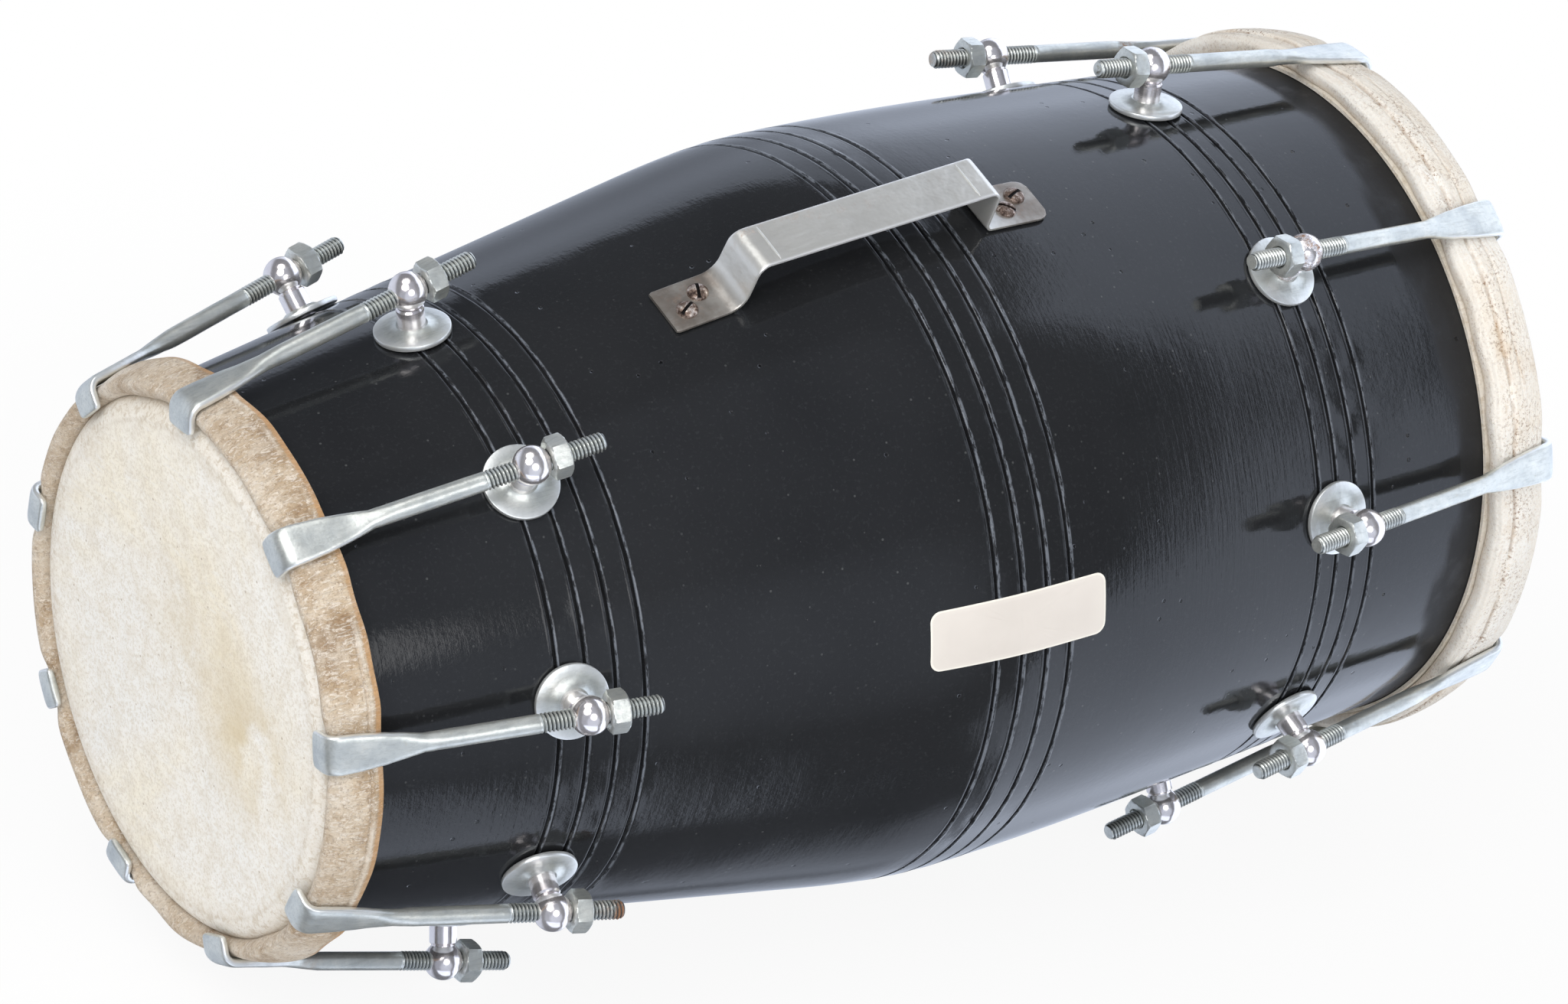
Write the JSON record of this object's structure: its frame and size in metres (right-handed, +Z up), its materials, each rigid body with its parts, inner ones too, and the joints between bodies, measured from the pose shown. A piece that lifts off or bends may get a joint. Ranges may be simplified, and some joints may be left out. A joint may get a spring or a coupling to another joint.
{
  "type": "two-headed barrel drum",
  "caption": "Tapered wooden barrel drum with two skin heads, hide-wrapped hoops, hook-and-nut tuning and a strap handle, lying on its side.",
  "frame": {"origin": "on the floor, under the middle of the whole drum as it lies at rest", "axes": "+X from the treble head towards the bass head, along the drum; +Z up; the carrying handle is near the top, turned a little towards -Y"},
  "size_m": [0.4692, 0.2782, 0.2718],
  "materials": {
    "black_lacquer": "glossy black lacquer over turned wood",
    "goat_skin": "cream rawhide, slightly mottled",
    "treble_hide": "tan suede-like hide wrap",
    "bass_hide": "pale hide wrap with brown stains",
    "polished_steel": "polished balls and zinc-plated washers, a little rust",
    "zinc_hooks": "dull zinc plate",
    "zinc_nuts": "dull zinc plate, some rust",
    "stainless_strap": "bright pressed sheet"
  },
  "bodies": {
    "shell": {"barrel_shell": "black_lacquer", "carry_handle": "stainless_strap", "treble_skin": "goat_skin", "treble_hoop": "treble_hide", "treble_lug_1": "polished_steel", "treble_lug_2": "polished_steel", "treble_lug_3": "polished_steel", "treble_lug_4": "polished_steel", "treble_lug_5": "polished_steel", "treble_lug_6": "polished_steel", "treble_lug_7": "polished_steel", "treble_lug_8": "polished_steel", "treble_lug_9": "polished_steel", "bass_skin": "goat_skin", "bass_hoop": "bass_hide", "bass_lug_1": "polished_steel", "bass_lug_2": "polished_steel", "bass_lug_3": "polished_steel", "bass_lug_4": "polished_steel", "bass_lug_5": "polished_steel", "bass_lug_6": "polished_steel", "bass_lug_7": "polished_steel", "bass_lug_8": "polished_steel", "bass_lug_9": "polished_steel"},
    "treble_hook_1": {"treble_hook_1": "zinc_hooks"},
    "treble_nut_1": {"treble_nut_1": "zinc_nuts"},
    "treble_hook_2": {"treble_hook_2": "zinc_hooks"},
    "treble_nut_2": {"treble_nut_2": "zinc_nuts"},
    "treble_hook_3": {"treble_hook_3": "zinc_hooks"},
    "treble_nut_3": {"treble_nut_3": "zinc_nuts"},
    "treble_hook_4": {"treble_hook_4": "zinc_hooks"},
    "treble_nut_4": {"treble_nut_4": "zinc_nuts"},
    "treble_hook_5": {"treble_hook_5": "zinc_hooks"},
    "treble_nut_5": {"treble_nut_5": "zinc_nuts"},
    "treble_hook_6": {"treble_hook_6": "zinc_hooks"},
    "treble_nut_6": {"treble_nut_6": "zinc_nuts"},
    "treble_hook_7": {"treble_hook_7": "zinc_hooks"},
    "treble_nut_7": {"treble_nut_7": "zinc_nuts"},
    "treble_hook_8": {"treble_hook_8": "zinc_hooks"},
    "treble_nut_8": {"treble_nut_8": "zinc_nuts"},
    "treble_hook_9": {"treble_hook_9": "zinc_hooks"},
    "treble_nut_9": {"treble_nut_9": "zinc_nuts"},
    "bass_hook_1": {"bass_hook_1": "zinc_hooks"},
    "bass_nut_1": {"bass_nut_1": "zinc_nuts"},
    "bass_hook_2": {"bass_hook_2": "zinc_hooks"},
    "bass_nut_2": {"bass_nut_2": "zinc_nuts"},
    "bass_hook_3": {"bass_hook_3": "zinc_hooks"},
    "bass_nut_3": {"bass_nut_3": "zinc_nuts"},
    "bass_hook_4": {"bass_hook_4": "zinc_hooks"},
    "bass_nut_4": {"bass_nut_4": "zinc_nuts"},
    "bass_hook_5": {"bass_hook_5": "zinc_hooks"},
    "bass_nut_5": {"bass_nut_5": "zinc_nuts"},
    "bass_hook_6": {"bass_hook_6": "zinc_hooks"},
    "bass_nut_6": {"bass_nut_6": "zinc_nuts"},
    "bass_hook_7": {"bass_hook_7": "zinc_hooks"},
    "bass_nut_7": {"bass_nut_7": "zinc_nuts"},
    "bass_hook_8": {"bass_hook_8": "zinc_hooks"},
    "bass_nut_8": {"bass_nut_8": "zinc_nuts"},
    "bass_hook_9": {"bass_hook_9": "zinc_hooks"},
    "bass_nut_9": {"bass_nut_9": "zinc_nuts"}
  },
  "joints": [
    {"name": "treble_nut_1_spin", "type": "hinge", "parent": "shell", "child": "treble_nut_1", "pos_m": [-0.15561, 0, 0.227], "axis": [0.9503, 0, 0.3114], "range_deg": [0, 2160]},
    {"name": "treble_hook_1_slide", "type": "slide", "parent": "shell", "child": "treble_hook_1", "axis": [-0.9503, 0, -0.3114], "range_m": [0, 0.00762]},
    {"name": "treble_nut_2_spin", "type": "hinge", "parent": "shell", "child": "treble_nut_2", "pos_m": [-0.15389, -0.07276, 0.20057], "axis": [0.9541, -0.1601, 0.2532], "range_deg": [0, 2160]},
    {"name": "treble_hook_2_slide", "type": "slide", "parent": "shell", "child": "treble_hook_2", "axis": [-0.9541, 0.1601, -0.2532], "range_m": [0, 0.00762]},
    {"name": "treble_nut_3_spin", "type": "hinge", "parent": "shell", "child": "treble_nut_3", "pos_m": [-0.14954, -0.11148, 0.13366], "axis": [0.9637, -0.2452, 0.106], "range_deg": [0, 2160]},
    {"name": "treble_hook_3_slide", "type": "slide", "parent": "shell", "child": "treble_hook_3", "axis": [-0.9637, 0.2452, -0.106], "range_m": [0, 0.00762]},
    {"name": "treble_nut_4_spin", "type": "hinge", "parent": "shell", "child": "treble_nut_4", "pos_m": [-0.14459, -0.09803, 0.05756], "axis": [0.9745, -0.2156, -0.0614], "range_deg": [0, 2160]},
    {"name": "treble_hook_4_slide", "type": "slide", "parent": "shell", "child": "treble_hook_4", "axis": [-0.9745, 0.2156, 0.0614], "range_m": [0, 0.00762]},
    {"name": "treble_nut_5_spin", "type": "hinge", "parent": "shell", "child": "treble_nut_5", "pos_m": [-0.14136, -0.03871, 0.0079], "axis": [0.9817, -0.0852, -0.1706], "range_deg": [0, 2160]},
    {"name": "treble_hook_5_slide", "type": "slide", "parent": "shell", "child": "treble_hook_5", "axis": [-0.9817, 0.0852, 0.1706], "range_m": [0, 0.00762]},
    {"name": "treble_nut_6_spin", "type": "hinge", "parent": "shell", "child": "treble_nut_6", "pos_m": [-0.14136, 0.03871, 0.0079], "axis": [0.9817, 0.0852, -0.1706], "range_deg": [0, 2160]},
    {"name": "treble_hook_6_slide", "type": "slide", "parent": "shell", "child": "treble_hook_6", "axis": [-0.9817, -0.0852, 0.1706], "range_m": [0, 0.00762]},
    {"name": "treble_nut_7_spin", "type": "hinge", "parent": "shell", "child": "treble_nut_7", "pos_m": [-0.14459, 0.09803, 0.05756], "axis": [0.9745, 0.2156, -0.0614], "range_deg": [0, 2160]},
    {"name": "treble_hook_7_slide", "type": "slide", "parent": "shell", "child": "treble_hook_7", "axis": [-0.9745, -0.2156, 0.0614], "range_m": [0, 0.00762]},
    {"name": "treble_nut_8_spin", "type": "hinge", "parent": "shell", "child": "treble_nut_8", "pos_m": [-0.14954, 0.11148, 0.13366], "axis": [0.9637, 0.2452, 0.106], "range_deg": [0, 2160]},
    {"name": "treble_hook_8_slide", "type": "slide", "parent": "shell", "child": "treble_hook_8", "axis": [-0.9637, -0.2452, -0.106], "range_m": [0, 0.00762]},
    {"name": "treble_nut_9_spin", "type": "hinge", "parent": "shell", "child": "treble_nut_9", "pos_m": [-0.15389, 0.07276, 0.20057], "axis": [0.9541, 0.1601, 0.2532], "range_deg": [0, 2160]},
    {"name": "treble_hook_9_slide", "type": "slide", "parent": "shell", "child": "treble_hook_9", "axis": [-0.9541, -0.1601, -0.2532], "range_m": [0, 0.00762]},
    {"name": "bass_nut_1_spin", "type": "hinge", "parent": "shell", "child": "bass_nut_1", "pos_m": [0.12795, 0, 0.26494], "axis": [-0.9972, 0, 0.0751], "range_deg": [0, 2160]},
    {"name": "bass_hook_1_slide", "type": "slide", "parent": "shell", "child": "bass_hook_1", "axis": [0.9972, 0, -0.0751], "range_m": [0, 0.00762]},
    {"name": "bass_nut_2_spin", "type": "hinge", "parent": "shell", "child": "bass_nut_2", "pos_m": [0.12997, -0.08527, 0.23398], "axis": [-0.9951, -0.0898, 0.0425], "range_deg": [0, 2160]},
    {"name": "bass_hook_2_slide", "type": "slide", "parent": "shell", "child": "bass_hook_2", "axis": [0.9951, 0.0898, -0.0425], "range_m": [0, 0.00762]},
    {"name": "bass_nut_3_spin", "type": "hinge", "parent": "shell", "child": "bass_nut_3", "pos_m": [0.13507, -0.13064, 0.15556], "axis": [-0.9897, -0.1376, -0.0401], "range_deg": [0, 2160]},
    {"name": "bass_hook_3_slide", "type": "slide", "parent": "shell", "child": "bass_hook_3", "axis": [0.9897, 0.1376, 0.0401], "range_m": [0, 0.00762]},
    {"name": "bass_nut_4_spin", "type": "hinge", "parent": "shell", "child": "bass_nut_4", "pos_m": [0.14087, -0.11488, 0.06639], "axis": [-0.9836, -0.121, -0.134], "range_deg": [0, 2160]},
    {"name": "bass_hook_4_slide", "type": "slide", "parent": "shell", "child": "bass_hook_4", "axis": [0.9836, 0.121, 0.134], "range_m": [0, 0.00762]},
    {"name": "bass_nut_5_spin", "type": "hinge", "parent": "shell", "child": "bass_nut_5", "pos_m": [0.14466, -0.04537, 0.00818], "axis": [-0.9796, -0.0478, -0.1953], "range_deg": [0, 2160]},
    {"name": "bass_hook_5_slide", "type": "slide", "parent": "shell", "child": "bass_hook_5", "axis": [0.9796, 0.0478, 0.1953], "range_m": [0, 0.00762]},
    {"name": "bass_nut_6_spin", "type": "hinge", "parent": "shell", "child": "bass_nut_6", "pos_m": [0.14466, 0.04537, 0.00818], "axis": [-0.9796, 0.0478, -0.1953], "range_deg": [0, 2160]},
    {"name": "bass_hook_6_slide", "type": "slide", "parent": "shell", "child": "bass_hook_6", "axis": [0.9796, -0.0478, 0.1953], "range_m": [0, 0.00762]},
    {"name": "bass_nut_7_spin", "type": "hinge", "parent": "shell", "child": "bass_nut_7", "pos_m": [0.14087, 0.11488, 0.06639], "axis": [-0.9836, 0.121, -0.134], "range_deg": [0, 2160]},
    {"name": "bass_hook_7_slide", "type": "slide", "parent": "shell", "child": "bass_hook_7", "axis": [0.9836, -0.121, 0.134], "range_m": [0, 0.00762]},
    {"name": "bass_nut_8_spin", "type": "hinge", "parent": "shell", "child": "bass_nut_8", "pos_m": [0.13507, 0.13064, 0.15556], "axis": [-0.9897, 0.1376, -0.0401], "range_deg": [0, 2160]},
    {"name": "bass_hook_8_slide", "type": "slide", "parent": "shell", "child": "bass_hook_8", "axis": [0.9897, -0.1376, 0.0401], "range_m": [0, 0.00762]},
    {"name": "bass_nut_9_spin", "type": "hinge", "parent": "shell", "child": "bass_nut_9", "pos_m": [0.12997, 0.08527, 0.23398], "axis": [-0.9951, 0.0898, 0.0425], "range_deg": [0, 2160]},
    {"name": "bass_hook_9_slide", "type": "slide", "parent": "shell", "child": "bass_hook_9", "axis": [0.9951, -0.0898, -0.0425], "range_m": [0, 0.00762]}
  ],
  "couplings": [
    {"joint": "treble_nut_1_spin", "follows": "treble_hook_1_slide", "rad_per_m": 4947.4},
    {"joint": "treble_nut_2_spin", "follows": "treble_hook_2_slide", "rad_per_m": 4947.4},
    {"joint": "treble_nut_3_spin", "follows": "treble_hook_3_slide", "rad_per_m": 4947.4},
    {"joint": "treble_nut_4_spin", "follows": "treble_hook_4_slide", "rad_per_m": 4947.4},
    {"joint": "treble_nut_5_spin", "follows": "treble_hook_5_slide", "rad_per_m": 4947.4},
    {"joint": "treble_nut_6_spin", "follows": "treble_hook_6_slide", "rad_per_m": 4947.4},
    {"joint": "treble_nut_7_spin", "follows": "treble_hook_7_slide", "rad_per_m": 4947.4},
    {"joint": "treble_nut_8_spin", "follows": "treble_hook_8_slide", "rad_per_m": 4947.4},
    {"joint": "treble_nut_9_spin", "follows": "treble_hook_9_slide", "rad_per_m": 4947.4},
    {"joint": "bass_nut_1_spin", "follows": "bass_hook_1_slide", "rad_per_m": 4947.4},
    {"joint": "bass_nut_2_spin", "follows": "bass_hook_2_slide", "rad_per_m": 4947.4},
    {"joint": "bass_nut_3_spin", "follows": "bass_hook_3_slide", "rad_per_m": 4947.4},
    {"joint": "bass_nut_4_spin", "follows": "bass_hook_4_slide", "rad_per_m": 4947.4},
    {"joint": "bass_nut_5_spin", "follows": "bass_hook_5_slide", "rad_per_m": 4947.4},
    {"joint": "bass_nut_6_spin", "follows": "bass_hook_6_slide", "rad_per_m": 4947.4},
    {"joint": "bass_nut_7_spin", "follows": "bass_hook_7_slide", "rad_per_m": 4947.4},
    {"joint": "bass_nut_8_spin", "follows": "bass_hook_8_slide", "rad_per_m": 4947.4},
    {"joint": "bass_nut_9_spin", "follows": "bass_hook_9_slide", "rad_per_m": 4947.4}
  ]
}
